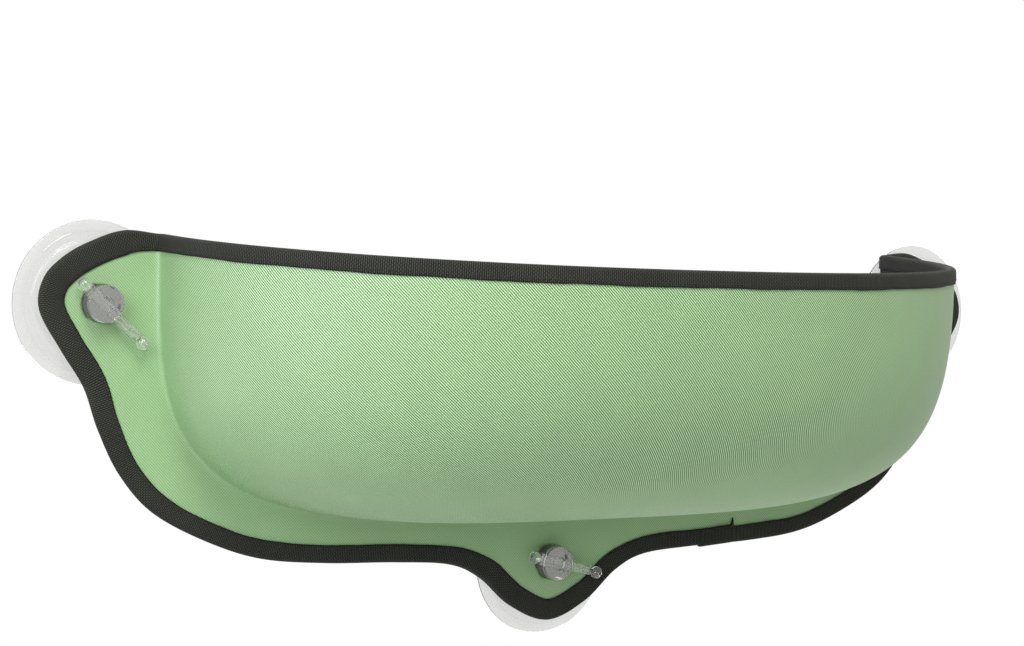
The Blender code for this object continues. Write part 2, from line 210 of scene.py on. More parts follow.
def baked(piece):
    """Replace a piece's mesh by the result of its modifiers, with its place in the mesh."""
    graph = bpy.context.evaluated_depsgraph_get()
    data = bpy.data.meshes.new_from_object(piece.evaluated_get(graph))
    data.transform(piece.matrix_world)
    piece.modifiers.clear()
    piece.data = data
    piece.matrix_world = Matrix.Identity(4)
    return piece


def cut(target, tool, operation="DIFFERENCE"):
    """Cut a tool out of a target, or join it to the target, for good."""
    boolean = target.modifiers.new("cut", "BOOLEAN")
    boolean.operation = operation
    boolean.solver = "EXACT"
    boolean.object = tool
    bpy.context.view_layer.update()
    baked(target)
    bpy.data.objects.remove(tool, do_unlink=True)
    return target


def sharp_edges(piece, degrees=35.0):
    """Shade a piece smooth, but leave the edges sharp where two faces meet at a wide angle."""
    data = piece.data
    form = bmesh.new()
    form.from_mesh(data)
    bmesh.ops.remove_doubles(form, verts=form.verts, dist=0.001 * MM)
    for edge in form.edges:
        edge.smooth = edge.calc_face_angle(0.0) < math.radians(degrees)
    for face in form.faces:
        face.smooth = True
    form.to_mesh(data)
    form.free()
    return piece


# The shell's surface


def signed_power(value, power):
    """Power of a value that keeps its sign."""
    return np.sign(value) * np.abs(value) ** power


def smooth_step(value):
    """Eased value from 0 to 1."""
    value = np.clip(value, 0.0, 1.0)
    return value * value * (3 - 2 * value)


def unit(vectors):
    """Vectors of length one."""
    return vectors / np.linalg.norm(vectors, axis=-1, keepdims=True)


def path_length(points):
    """Distance of each point of a path from its start, along the path."""
    return np.concatenate([[0.0], np.cumsum(np.linalg.norm(np.diff(points, axis=0), axis=1))])


def resample(values, place, stops):
    """Columns of values, given at places along a path, read at the stops."""
    return np.stack([np.interp(stops, place, column) for column in values.T], axis=1)


def walk(points, count, weight=0.0):
    """Points evenly spaced along a dense path, closer together in bends by the weight."""
    steps = np.diff(points, axis=0)
    heading = np.unwrap(np.arctan2(steps[:, 1], steps[:, 0]))
    cost = np.linalg.norm(steps, axis=1) + weight * np.abs(np.gradient(heading))
    cost = np.concatenate([[0.0], np.cumsum(cost)])
    return resample(points, cost, np.linspace(0.0, cost[-1], count))


def smooth_path(knots, per_span=96):
    """Catmull-Rom curve through the knots, as a dense path."""
    ends = [2 * knots[0] - knots[1], *knots, 2 * knots[-1] - knots[-2]]
    u = np.linspace(0.0, 1.0, per_span, endpoint=False)[:, None]
    spans = []
    for a, b, c, d in zip(ends, ends[1:], ends[2:], ends[3:]):
        curve = 2 * b + (c - a) * u + (2 * a - 5 * b + 4 * c - d) * u**2 + (3 * b - a - 3 * c + d) * u**3
        spans.append(curve / 2)
    return np.vstack([*spans, knots[-1:]])


def flange_outline():
    """Outer edge of the flange in X and Z, from the pocket's left end round to its right end."""
    lobe_x, lobe_z = CUPS["bottom"]
    lobe = [(0.75, -0.71), (1.37, -0.2), (1.98, 0.06)]
    run = [(0.41, -1.04), (0.59, -0.96)]
    corner = [(-1.94, 1.14), (-0.95, 1.05), (-0.02, 0.916), (0.56, 0.747), (0.94, 0.55), (1.2, 0.362)]
    wing = [(0.6, -0.68), (0.99, -0.1), (0.93, 0.34), (0.6, 0.65), (0.15, 0.87), (-0.42, 1.036)]
    half = [(lobe_x + LOBE_REACH * u, lobe_z + LOBE_REACH * v) for u, v in lobe]
    half += [(POCKET_HALF_WIDTH * u, POCKET_FLOOR + BOTTOM_BORDER * v) for u, v in run]
    half += [(POCKET_HALF_WIDTH + CUP_OUTSET * u, POCKET_FLOOR * v) for u, v in corner]
    half += [(CUP_X + WING_REACH * u, RIM_HEIGHT * v) for u, v in wing]
    half += [(POCKET_HALF_WIDTH, RIM_HEIGHT)]
    left = [(-x, z) for x, z in reversed(half)]
    return smooth_path(np.array(left + [(0.0, lobe_z - LOBE_REACH)] + half))


def crease_line():
    """Where the pocket meets the flange: a superellipse hung from the rim's two ends."""
    angle = np.linspace(-math.pi / 2, math.pi / 2, LINE_POINTS)
    across = signed_power(np.sin(angle), 2 / FACE_POWER)
    down = np.cos(angle).clip(0.0) ** (2 / FACE_POWER)
    return np.stack([across * POCKET_HALF_WIDTH, RIM_HEIGHT - down * POCKET_HEIGHT], axis=1)


def section_table():
    """Angles of the middle section, and the share of its length from the crease at each."""
    angle = np.linspace(0.0, math.pi / 2, TABLE_POINTS)
    out = POCKET_DEPTH * np.sin(angle) ** (2 / SECTION_POWER)
    down = POCKET_HEIGHT * np.cos(angle).clip(0.0) ** (2 / SECTION_POWER)
    place = path_length(np.stack([out, down], axis=1))
    return angle, place / place[-1]


def sheet_normals(points):
    """Unit vector out of the sheet towards the room at every point of its grid."""
    down = np.gradient(points, axis=0)
    along = np.gradient(points, axis=1)
    normal = np.cross(down, along)
    return normal / np.maximum(np.linalg.norm(normal, axis=-1, keepdims=True), 1e-15)


def rim_way(bearing):
    """Distance along the rim from its middle, at a bearing seen from the pocket's middle."""
    angle = np.linspace(0.0, math.pi / 2, TABLE_POINTS)
    across = POCKET_HALF_WIDTH * np.sin(angle) ** (2 / PLAN_POWER)
    out = POCKET_DEPTH * np.cos(angle).clip(0.0) ** (2 / PLAN_POWER)
    place = path_length(np.stack([across, out], axis=1))
    seen = np.arctan2(across / POCKET_HALF_WIDTH, out / POCKET_DEPTH)
    return np.sign(bearing) * np.interp(np.abs(bearing), seen, place)


def shell_sheet(columns, pocket_rows, flange_rows):
    """The shell's room face as a grid from the rim over the crease to the outline.

    Row by column, the pocket's point at angle g has forward = out sin(g)^(2/n) and
    fall = down cos(g)^(2/n), where out follows the plan's superellipse and down the crease.
    Near the crease, a distance a up the wall and b along the flange turns into
    a' = r (1-u)^2 and b' = r u^2 with u = (r + b - a) / 2r, which rounds the corner.
    Also returns the unit vectors out of the sheet, which in that corner are the sum of u
    times the flange's and 1-u times the wall's, and the cloth's flat place: the way round
    the rim and the height at the pocket's rows, and X and Z at the flange's, each with the
    crease as its last or first row.
    """
    crease = walk(crease_line(), columns + 1)
    outline = walk(flange_outline(), columns + 1, weight=BEND_SPACING)
    across = np.abs(crease[:, 0] / POCKET_HALF_WIDTH).clip(0.0, 1.0)
    out = POCKET_DEPTH * (1 - across**PLAN_POWER) ** (1 / PLAN_POWER)
    down = (RIM_HEIGHT - crease[:, 1]) / POCKET_HEIGHT
    table_angle, table_share = section_table()

    near_share = np.linspace(1.0, 0.0, CREASE_ROWS)[:, None]
    near = np.minimum(CREASE_FILLET / np.maximum(out, 1e-9), 0.5) * near_share
    near_angle = np.arcsin(near ** (SECTION_POWER / 2))
    first = np.interp(near_angle[0], table_angle, table_share)
    far_share = 1 + (first - 1) * np.linspace(0.0, 1.0, pocket_rows)[:-1, None]
    angle = np.vstack([np.interp(far_share, table_share, table_angle), near_angle])
    forward = out * np.sin(angle) ** (2 / SECTION_POWER)
    fall = down * np.cos(angle).clip(0.0) ** (2 / SECTION_POWER)
    part = forward / POCKET_DEPTH
    height = RIM_HEIGHT - RIM_DIP * part - (POCKET_HEIGHT - FLOOR_RISE * part) * fall
    sideways = np.broadcast_to(crease[:, 0], forward.shape)
    pocket = np.stack([sideways, -FLANGE_FRONT - forward, height], axis=-1)

    reach = np.linalg.norm(outline - crease, axis=1)
    rounded = np.minimum(CREASE_FILLET, 0.4 * reach) * np.linspace(0.0, 1.0, CREASE_ROWS)[1:, None]
    outer_share = np.linspace(0.0, 1.0, flange_rows)[1:, None]
    border = np.vstack([rounded, rounded[-1] + (reach - rounded[-1]) * outer_share])
    flat = crease + (outline - crease) * (border / np.maximum(reach, 1e-9))[..., None]
    flange = np.stack([flat[..., 0], np.full(border.shape, -FLANGE_FRONT), flat[..., 1]], axis=-1)

    points = np.vstack([pocket, flange])
    run = unit(np.gradient(crease, axis=0))
    away = np.stack([run[:, 1], -run[:, 0]], axis=1)
    up = np.vstack([forward, np.zeros_like(border)])
    along = np.vstack([np.zeros_like(forward), ((flat - crease) * away).sum(axis=-1)])
    turn = (CREASE_FILLET + along - up) / (2 * CREASE_FILLET)
    corner = (turn > 0) & (turn < 1)
    rise = np.where(corner, CREASE_FILLET * (1 - turn) ** 2, up)
    spread = np.where(corner, CREASE_FILLET * turn**2, along)
    points[..., 1] -= rise - up
    points[..., 0] += (spread - along) * away[:, 0]
    points[..., 2] += (spread - along) * away[:, 1]
    wall_out = np.stack([away[:, 0], np.zeros(columns + 1), away[:, 1]], axis=1)
    share = turn.clip(0.0, 1.0)[..., None]
    corner_normal = unit(share * ROOM + (1 - share) * wall_out)
    normal = np.where(corner[..., None], corner_normal, sheet_normals(points))
    normal[:, 0] = unit(np.array([-1.0, -1.0, 0.0]))
    normal[:, -1] = unit(np.array([1.0, -1.0, 0.0]))

    way_round = rim_way(np.arctan2(crease[:, 0] / POCKET_HALF_WIDTH, forward / POCKET_DEPTH))
    wall_cloth = np.stack([way_round, height], axis=-1)
    return points, normal, wall_cloth, np.vstack([crease[None], flat])


def outline_inward(points):
    """Unit vectors in the flange's plane, away from its outer edge."""
    along = unit(np.gradient(points[-1], axis=0) * (1.0, 0.0, 1.0))
    inward = np.cross(ROOM, along)
    inward[0] = inward[-1] = DOWN
    return inward


def thick_sheet(name, front, back, faces, uv):
    """A closed mesh of a sheet's front and back points, joined along each of its open edges."""
    used = np.unique(faces)
    count = len(used)
    faces = np.searchsorted(used, faces)
    ends = np.roll(faces, -1, axis=1)
    is_open = (faces != ends) & ~np.isin(faces * count + ends, ends * count + faces)
    a, b = faces[is_open], ends[is_open]
    uv_a, uv_b = uv[is_open], np.roll(uv, -1, axis=1)[is_open]
    sides = np.stack([b, a, a + count, b + count], axis=1)
    side_uv = np.stack([uv_b, uv_a, uv_a, uv_b], axis=1)
    every_face = np.vstack([faces, faces[:, ::-1] + count, sides])
    every_uv = np.concatenate([uv, uv[:, ::-1], side_uv])
    return mesh_piece(name, np.vstack([front[used], back[used]]), every_face, every_uv), used


def shell_layer(name, depth, thickness, size):
    """One layer: the sheet sunk by a depth along its normals, with a thickness, open for the heads.

    Each point keeps how far it faces up or down, as underside, and how far it faces the
    right end, less a share of how far it faces up, as drawn_end.
    """
    points, normal, wall_cloth, flange_cloth = shell_sheet(*size)
    rows, columns = points.shape[:2]
    points[0] += EDGE_INSET * DOWN
    points[-1] += EDGE_INSET * outline_inward(points)
    front, back = [(points - normal * level).reshape(-1, 3) for level in (depth, depth + thickness)]

    faces = grid_faces(rows, columns)
    crease_row = len(wall_cloth) - 1
    on_wall = (faces[:, 0] // columns < crease_row)[:, None, None]
    wall_place = wall_cloth.reshape(-1, 2)[np.minimum(faces, wall_cloth[..., 0].size - 1)]
    flange_place = flange_cloth.reshape(-1, 2)[np.maximum(faces - crease_row * columns, 0)]
    cloth = np.where(on_wall, wall_place, flange_place)
    on_flange = np.abs(points.reshape(-1, 3)[:, 1] + FLANGE_FRONT) < 0.01 * MM
    for place in CUPS.values():
        offset = front[:, [0, 2]] - place
        distance = np.linalg.norm(offset, axis=1)
        inside = on_flange & (distance < HOLE_RADIUS)
        kept = ~inside[faces].all(axis=1)
        faces, cloth = faces[kept], cloth[kept]
        edge = place + offset[inside] * (HOLE_RADIUS / np.maximum(distance[inside], 1e-6))[:, None]
        for skin in (front, back):
            skin[inside, 0], skin[inside, 2] = edge.T
        cloth = np.where(inside[faces][..., None], front[faces][..., [0, 2]], cloth)

    number = np.arange(rows * columns).reshape(rows, columns)
    number[:, 0] = 0
    number[:, -1] = columns - 1
    piece, used = thick_sheet(name, front, back, number.reshape(-1)[faces], cloth)
    sideways, _, upward = normal.reshape(-1, 3)[used].T
    drawn = sideways - DRAWN_LEAN * upward
    for label, facing in (("underside", np.abs(upward)), ("drawn_end", drawn)):
        attribute = piece.data.attributes.new(label, "FLOAT", "POINT")
        attribute.data.foreach_set("value", np.tile(facing, 2).astype(np.float32))
    return piece


# The edge tape and its threads


def tape_widths(places, on_rim):
    """Width of the tape on the face: wider on the wings and the lobe than on rim and runs."""
    x, z = np.abs(places[:, 0]), places[:, 2]
    wing = smooth_step((z - POCKET_FLOOR) / (RIM_HEIGHT - POCKET_FLOOR))
    lobe = smooth_step((POCKET_FLOOR - BOTTOM_BORDER - z) / (LOBE_REACH / 2))
    flange = TAPE_ON_RUN + (TAPE_ON_WING - TAPE_ON_RUN) * wing + (TAPE_ON_LOBE - TAPE_ON_RUN) * lobe
    from_rim = np.hypot(x - POCKET_HALF_WIDTH, z - RIM_HEIGHT)
    flange = TAPE_ON_RIM + (flange - TAPE_ON_RIM) * smooth_step(from_rim / (2 * TAPE_ON_WING))
    return np.where(on_rim, TAPE_ON_RIM, flange)


def edge_path(stations):
    """The shell's edge as a closed path of evenly spaced stations.

    Each has its place, its vector out of the face, which is inward x along, its vector
    inward in the sheet, the tape's width and its distance along the edge, whose whole
    length is returned too.
    """
    points = shell_sheet(columns=672, pocket_rows=40, flange_rows=12)[0]
    rim = points[0]
    back = points[-1][::-1][1:-1]
    places = np.vstack([rim, back])
    inward = np.vstack([np.tile(DOWN, (len(rim), 1)), outline_inward(points)[::-1][1:-1]])
    on_rim = np.arange(len(places)) < len(rim)
    width = tape_widths(places, on_rim)
    closed = [np.vstack([values, values[:1]]) for values in (places, inward, width[:, None])]
    distance = path_length(closed[0])
    stops = np.linspace(0.0, distance[-1], stations, endpoint=False)
    places, inward, width = [resample(values, distance, stops) for values in closed]
    along = unit(np.roll(places, -1, axis=0) - np.roll(places, 1, axis=0))
    inward = unit(inward - along * (inward * along).sum(axis=1)[:, None])
    out = unit(np.cross(inward, along))
    return places, out, inward, width[:, 0], stops, distance[-1]


def ripple(distance, total, waves, phase):
    """Sum of a few sines of whole waves round the edge, between about -1 and 1."""
    turn = 2 * math.pi * distance / total
    parts = [np.sin(turn * n + phase * (k + 1)) / (k + 1) for k, n in enumerate(waves)]
    return sum(parts) / 1.5


def tape_section(width, thick, puff):
    """Closed section of the folded tape as out and inward distances, one row per station.

    Outside, it runs from the free edge on the room face, round the fold as half an ellipse,
    to the free edge on the glass face, and inside back again, a tape's thickness within.
    """
    count = len(width)
    front = np.full(count, CLEARANCE)
    back = np.full(count, -SHELL - CLEARANCE)
    shares = np.array([1.0, 0.86, 0.68, 0.45, 0.2])
    start = FOLD_DEPTH - TAPE - CLEARANCE
    rows = []

    def lay(out, inward):
        rows.append(np.stack([np.broadcast_to(values, (count,)) for values in (out, inward)], axis=-1))

    def side(level_front, level_back, depth, puffed):
        for share in shares:
            bulge = puffed * puff * 4 * share * (1 - share)
            lay(level_front + bulge, start + (width - start) * share)
        for turn in np.linspace(0.0, math.pi, 13):
            half = (level_front - level_back) / 2
            centre = (level_front + level_back) / 2
            lay(centre + half * math.cos(turn), start - depth * math.sin(turn))
        for share in shares[::-1]:
            lay(level_back, start + (width - start) * share)

    side(front + thick, back - TAPE, FOLD_DEPTH, 1.0)
    lay(back - TAPE * 0.75, width + TAPE_LIP)
    lay(back - TAPE * 0.25, width + TAPE_LIP)
    outer = len(rows)
    side(front, back, FOLD_DEPTH - TAPE, 0.0)
    rows[outer:] = rows[outer:][::-1]
    lay(front + thick * 0.25, width + TAPE_LIP)
    lay(front + thick * 0.75, width + TAPE_LIP)
    return np.stack(rows, axis=1)


def lap_thickness(places):
    """Thickness of tape on the room face: doubled where its two ends lie over each other."""
    on_run = (places[:, 2] < POCKET_FLOOR) & (np.abs(places[:, 0] - LAP_PLACE) < LAP_LENGTH / 2)
    return np.where(on_run, 2 * TAPE, TAPE)


def lap_spread(places):
    """How far the upper end of the lap stands out past the tape under it, outward and inward.

    It leans: outward from 1 at its left to 0, inward from 0 to 1 at its right, where a frayed
    corner stands up from one station.
    """
    way = (places[:, 0] - LAP_PLACE) / LAP_LENGTH + 0.5
    on_lap = (places[:, 2] < POCKET_FLOOR) & (way > 0.0) & (way < 1.0)
    corner = np.where(on_lap, way, 0.0).argmax()
    frayed = np.where(np.arange(len(places)) == corner, LAP_FRAY, 0.0)
    outward, inward = [np.where(on_lap, part * LAP_LEAN, 0.0) for part in (1 - way, way)]
    return outward, inward + frayed


def edge_binding(stations):
    """The folded tape, its section carried round the edge path, with a slight ripple.

    A point is its station's place, plus the section's first distance out of the face and
    its second one inward. The cloth's place is the way round the edge and the way round
    the section.
    """
    places, out, inward, width, distance, total = edge_path(stations)
    outward, inner = lap_spread(places)
    waver = TAPE_WAVER * ripple(distance, total, waves=(23, 41, 87), phase=1.3)
    width = width + outward + inner + waver
    places = places - inward * outward[:, None]
    thick = lap_thickness(places)
    puff = TAPE_PUFF * (1 + 0.6 * ripple(distance, total, waves=(61, 113, 29), phase=0.7))
    section = tape_section(width, thick, puff)
    points = places[:, None] + out[:, None] * section[..., :1] + inward[:, None] * section[..., 1:]
    steps = np.linalg.norm(np.diff(section, axis=1), axis=2)
    way = np.concatenate([np.zeros((stations, 1)), np.cumsum(steps, axis=1)], axis=1)
    count = section.shape[1]
    faces = grid_faces(stations, count, close_rows=True, close_columns=True)
    piece = mesh_piece("ribbed_edge_tape", points.reshape(-1, 3), faces)
    layer = piece.data.uv_layers.new(name="cloth")
    station, place = np.divmod(faces, count)
    wrapped = (station == 0) & (station.max(axis=1, keepdims=True) == stations - 1)
    closing = (place == 0) & (place.max(axis=1, keepdims=True) == count - 1)
    u = distance[station] + np.where(wrapped, total, 0.0)
    v = np.where(closing, way[station, -1], way[station, place])
    layer.data.foreach_set("uv", np.stack([u, v], axis=-1).astype(np.float32).ravel())
    return piece


def stitch_row(name, side):
    """A row of stitches along the tape: each a thin tube that rises out of the tape and dips
    back into it, a little slanted.

    At a share t of a stitch's length, its middle stands r (1.15 sqrt(sin(pi t)) - 0.55) off
    the tape, and its radius is r sin(pi t)^0.3, held where t is within 0.08 of an end.
    """
    places, out, inward, width, distance, total = edge_path(STITCH_STATIONS)
    count = int(round(total / STITCH))
    room = side == "room"
    thick = lap_thickness(places)
    level = CLEARANCE + thick if room else np.full(len(places), -SHELL - CLEARANCE - TAPE)
    sign = 1.0 if room else -1.0
    values = np.hstack([places, out, inward, (width - SEAM_INSET)[:, None], level[:, None]])
    values = np.vstack([values, values[:1]])
    distances = np.append(distance, total)
    rings, sides = 9, 8
    t = np.linspace(0.04, 0.96, rings)
    centre = (np.arange(count)[:, None] + 0.5 + (t - 0.5) * STITCH_SHARE) * (total / count)
    read = resample(values, distances, centre.ravel()).reshape(count, rings, -1)
    place, face, inside = read[..., 0:3], read[..., 3:6], read[..., 6:9]
    rise = THREAD_RADIUS * (np.sin(math.pi * t) ** 0.5 * 1.15 - 0.55) * sign
    slant = STITCH_SLANT * (t - 0.5)[:, None]
    spot = place + face * (read[..., 10:11] + rise[:, None]) + inside * (read[..., 9:10] + slant)
    turn = np.linspace(0.0, 2 * math.pi, sides, endpoint=False)
    thin = THREAD_RADIUS * np.sin(math.pi * np.clip(t, 0.08, 0.92)) ** 0.3
    ring = face[:, :, None] * np.cos(turn)[:, None] + inside[:, :, None] * np.sin(turn)[:, None]
    points = spot[:, :, None] + ring * thin[:, None, None]
    starts = rings * sides * np.arange(count)[:, None]
    faces = (starts[..., None] + grid_faces(rings, sides, close_columns=True)).reshape(-1, 4)
    cap = np.arange(sides)
    caps = np.vstack([starts + cap[::-1], starts + (rings - 1) * sides + cap])
    way = np.repeat(centre.ravel(), sides)
    round_way = np.tile(turn * THREAD_RADIUS, count * rings)
    data = new_mesh(name, points.reshape(-1, 3), faces.tolist() + caps.tolist())
    layer = data.uv_layers.new(name="cloth")
    corner = np.zeros(len(data.loops), dtype=np.int32)
    data.loops.foreach_get("vertex_index", corner)
    layer.data.foreach_set("uv", np.stack([way, round_way], axis=-1).astype(np.float32)[corner].ravel())
    data.shade_smooth()
    form = bmesh.new()
    form.from_mesh(data)
    bmesh.ops.recalc_face_normals(form, faces=form.faces)
    form.to_mesh(data)
    form.free()
    return new_object(name, data)


# The cups and their pins


def corner_arc(before, here, after, reach, steps):
    """A corner rounded by (1-u)^2 start + 2u(1-u) corner + u^2 end, each end a reach from it."""
    start = here + unit(before - here) * reach
    end = here + unit(after - here) * reach
    u = np.linspace(0.0, 1.0, steps)[:, None]
    return (1 - u) ** 2 * start + 2 * u * (1 - u) * here + u**2 * end


def rounded_profile(corners, steps=6):
    """A line of (radius, height, rounding) corners, each but the ends rounded."""
    corners = np.array(corners)
    spots, roundings = corners[:, :2], corners[:, 2]
    line = []
    for before, here, after, rounding in zip(spots, spots[1:], spots[2:], roundings[1:]):
        reach = min(rounding, np.linalg.norm(before - here) * 0.45, np.linalg.norm(after - here) * 0.45)
        line.append(corner_arc(before, here, after, reach, steps))
    return np.vstack([spots[:1], *line, spots[-1:]])


def turned(name, profile, turns=96):
    """A profile of (radius, height) points turned about the height axis, its ends on the axis.

    At each angle, a point is at radius cos(angle), radius sin(angle) and its height.
    """
    angle = np.linspace(0.0, 2 * math.pi, turns, endpoint=False)
    inner = profile[1:-1]
    radius, height = inner[:, :1], inner[:, 1:]
    ring = np.stack([radius * np.cos(angle), radius * np.sin(angle), height + 0 * angle], axis=-1)
    points = np.vstack([ring.reshape(-1, 3), [[0.0, 0.0, profile[0, 1]], [0.0, 0.0, profile[-1, 1]]]])
    faces = grid_faces(len(inner), turns, close_columns=True).tolist()
    top, bottom = len(points) - 2, len(points) - 1
    last = (len(inner) - 1) * turns
    here = np.arange(turns)
    after = np.roll(here, -1)
    faces += np.stack([np.full(turns, top), here, after], axis=1).tolist()
    faces += np.stack([np.full(turns, bottom), last + after, last + here], axis=1).tolist()
    return new_object(name, new_mesh(name, points, faces))


def cup_profile():
    """Half section of a suction cup, from the axis at its front out and down to the glass.

    Each corner is a radius, a height over the glass and a rounding.
    """
    hub = STANDOFF - CLEARANCE
    cap = HEAD_FRONT - HEAD_CAP
    waist = HUB_RADIUS + hub - DISC_WAIST
    flat = DISC_RADIUS - LIP_FLAT
    slope = (LIP - DISC_WAIST) / (DISC_RADIUS - waist)
    ring = DISC_RADIUS - DISC_RING_INSET
    ring_level = DISC_WAIST + slope * (ring - waist)
    return rounded_profile([
        (0.0, HEAD_FRONT - RECESS_DEPTH, 0.0),
        (RECESS_RADIUS, HEAD_FRONT - RECESS_DEPTH, 0.5 * MM),
        (RECESS_RADIUS, HEAD_FRONT, 0.3 * MM),
        (HEAD_RADIUS, HEAD_FRONT, 0.7 * MM),
        (HEAD_RADIUS, cap, 0.25 * MM),
        (HEAD_RADIUS - GROOVE, cap - DRAFT, 0.2 * MM),
        (HEAD_RADIUS - GROOVE, cap - GROOVE, 0.2 * MM),
        (HEAD_RADIUS, cap - GROOVE - DRAFT, 0.25 * MM),
        (HEAD_RADIUS - DRAFT, hub + 0.2 * MM, 0.4 * MM),
        (HUB_RADIUS, hub, 0.8 * MM),
        (waist, DISC_WAIST, 2.5 * MM),
        (ring, ring_level, 0.6 * MM),
        (ring + 0.6 * MM, ring_level + DISC_RING_RISE, 0.5 * MM),
        (ring + DISC_RING_WIDTH, ring_level + slope * DISC_RING_WIDTH, 0.6 * MM),
        (DISC_RADIUS, LIP, 0.6 * MM),
        (DISC_RADIUS, 0.0, 0.5 * MM),
        (flat, 0.0, 0.6 * MM),
        (flat - 2 * VACUUM_HOLLOW, VACUUM_HOLLOW, 0.8 * MM),
        (0.0, VACUUM_HOLLOW, 0.0),
    ])


def pin_frame(side):
    """Frame of a pin: X along the pin, Z out of the window, its origin on the cup's axis."""
    x, z = CUPS[side]
    lean = Matrix.Rotation(-math.radians(PIN_ANGLES[side]), 4, "Y")
    return Matrix.Translation((x, -PIN_LEVEL, z)) @ lean @ Matrix.Rotation(math.pi / 2, 4, "X")


def rounded_box(name, size, rounding):
    """A box of a size about the origin with rounded edges."""
    data = bpy.data.meshes.new(name)
    form = bmesh.new()
    bmesh.ops.create_cube(form, size=1.0)
    bmesh.ops.scale(form, vec=size, verts=form.verts)
    bmesh.ops.bevel(form, geom=form.edges, offset=rounding, segments=3, profile=0.5, affect="EDGES")
    form.to_mesh(data)
    form.free()
    return new_object(name, data)


def suction_cup(side):
    """A cup turned from its profile, with the pin's slot cut through its head."""
    x, z = CUPS[side]
    cup = turned(f"clear_cup_{side}", cup_profile())
    cup.matrix_world = Matrix.Translation((x, 0.0, z)) @ Matrix.Rotation(math.pi / 2, 4, "X")
    size = (4 * HEAD_RADIUS, PIN_WIDTH + 2 * CLEARANCE, PIN_THICKNESS + 2 * CLEARANCE)
    slot = rounded_box("slot", size, SLOT_ROUNDING)
    slot.matrix_world = pin_frame(side)
    bpy.context.view_layer.update()
    return sharp_edges(cut(cup, slot))


def pin_section(width):
    """Section of a pin's bar: a thin web with a rounded ridge along each side of both faces."""
    half = width / 2
    ridge = half - PIN_RIDGE
    thick = PIN_THICKNESS / 2
    web = PIN_WEB / 2
    corners = [
        (half, -thick), (half, thick), (ridge, thick), (ridge, web), (-ridge, web), (-ridge, thick),
        (-half, thick), (-half, -thick), (-ridge, -thick), (-ridge, -web), (ridge, -web), (ridge, -thick),
    ]
    spots = np.array(corners)
    nearby = zip(np.roll(spots, 1, axis=0), spots, np.roll(spots, -1, axis=0))
    return np.vstack([corner_arc(before, here, after, PIN_ROUNDING, 4) for before, here, after in nearby])


def ball_line(place, radius, count):
    """Profile of a ball: radius sin(turn) off the pin's line, place - radius cos(turn) along it."""
    turn = np.linspace(0.0, math.pi, count)
    return np.stack([radius * np.sin(turn), place - radius * np.cos(turn)], axis=1)


def locking_pin(side):
    """A pin: its ridged bar, which narrows evenly, a ball on each end and a neck before the far one."""
    near = -(HEAD_RADIUS + PIN_PLAY + BALL_RADIUS)
    far = near + PIN_LENGTH
    bar_end = far - BALL_RADIUS - PIN_NECK
    neck_start = far - 2 * BALL_RADIUS - 2 * PIN_NECK
    stops = np.linspace(near, bar_end, 12)
    share = (stops - near) / (bar_end - near)
    wide = pin_section(PIN_WIDTH)
    tip = pin_section(PIN_TIP_WIDTH)
    section = wide + (tip - wide) * share[:, None, None]
    lengthwise = np.broadcast_to(stops[:, None, None], section.shape[:2] + (1,))
    points = np.concatenate([lengthwise, section], axis=-1)
    count = section.shape[1]
    faces = grid_faces(len(stops), count, close_columns=True)[:, ::-1].tolist()
    last = (len(stops) - 1) * count
    faces += [list(range(count))[::-1], [last + k for k in range(count)]]
    name = f"clear_pin_{side}"
    pin = new_object(name, new_mesh(name, points.reshape(-1, 3), faces))
    pin.matrix_world = pin_frame(side)
    turn = Matrix.Rotation(math.pi / 2, 4, "Y")
    for label, line in (
        ("near ball", ball_line(near, BALL_RADIUS, 25)),
        ("far ball", ball_line(far, BALL_RADIUS, 25)),
        ("neck", rounded_profile([
            (0.0, neck_start, 0.0),
            (PIN_NECK_RADIUS, neck_start, 0.4 * MM),
            (PIN_NECK_RADIUS, far, 0.4 * MM),
            (0.0, far, 0.0),
        ])),
    ):
        tool = turned(label, line[::-1], turns=40)
        tool.matrix_world = pin_frame(side) @ turn
        bpy.context.view_layer.update()
        cut(pin, tool, "UNION")
    return sharp_edges(pin)


# Materials


def new_material(name, **constants):
    """A material with its Principled shader's own sockets set, and its node tree."""
    made = bpy.data.materials.new(name)
    made.use_nodes = True
    shader = made.node_tree.nodes["Principled BSDF"]
    for socket, value in constants.items():
        shader.inputs[socket.replace("_", " ")].default_value = value
    return made, made.node_tree, shader


def add_node(tree, kind, inputs=(), **settings):
    """A node with its settings, each input a value or another node's socket."""
    node = tree.nodes.new(kind)
    for key, value in settings.items():
        setattr(node, key, value)
    for socket, value in dict(inputs).items():
        if isinstance(value, bpy.types.NodeSocket):
            tree.links.new(value, node.inputs[socket])
        else:
            node.inputs[socket].default_value = value
    return node


def maths(tree, operation, a, b=0.0, c=0.0):
    """The result of a Math node."""
    return add_node(tree, "ShaderNodeMath", {0: a, 1: b, 2: c}, operation=operation).outputs[0]


def times(tree, a, b, plus=0.0):
    """A product, plus a value."""
    return maths(tree, "MULTIPLY_ADD", a, b, plus)


def vector_maths(tree, operation, a, b):
    """The result of a Vector Math node."""
    return add_node(tree, "ShaderNodeVectorMath", {0: a, 1: b}, operation=operation).outputs[0]


def dot(tree, vector, direction):
    """How far a vector reaches along a direction."""
    node = add_node(tree, "ShaderNodeVectorMath", {0: vector, 1: direction}, operation="DOT_PRODUCT")
    return node.outputs["Value"]


def wave(tree, value):
    """A wave from 0 to 1 with a period of 1."""
    return times(tree, maths(tree, "COSINE", times(tree, value, 2 * math.pi)), 0.5, 0.5)


def noise(tree, vector, scale, detail=2.0, roughness=0.5):
    """A Noise Texture's value."""
    inputs = {"Vector": vector, "Scale": scale, "Detail": detail, "Roughness": roughness}
    return add_node(tree, "ShaderNodeTexNoise", inputs).outputs["Fac"]


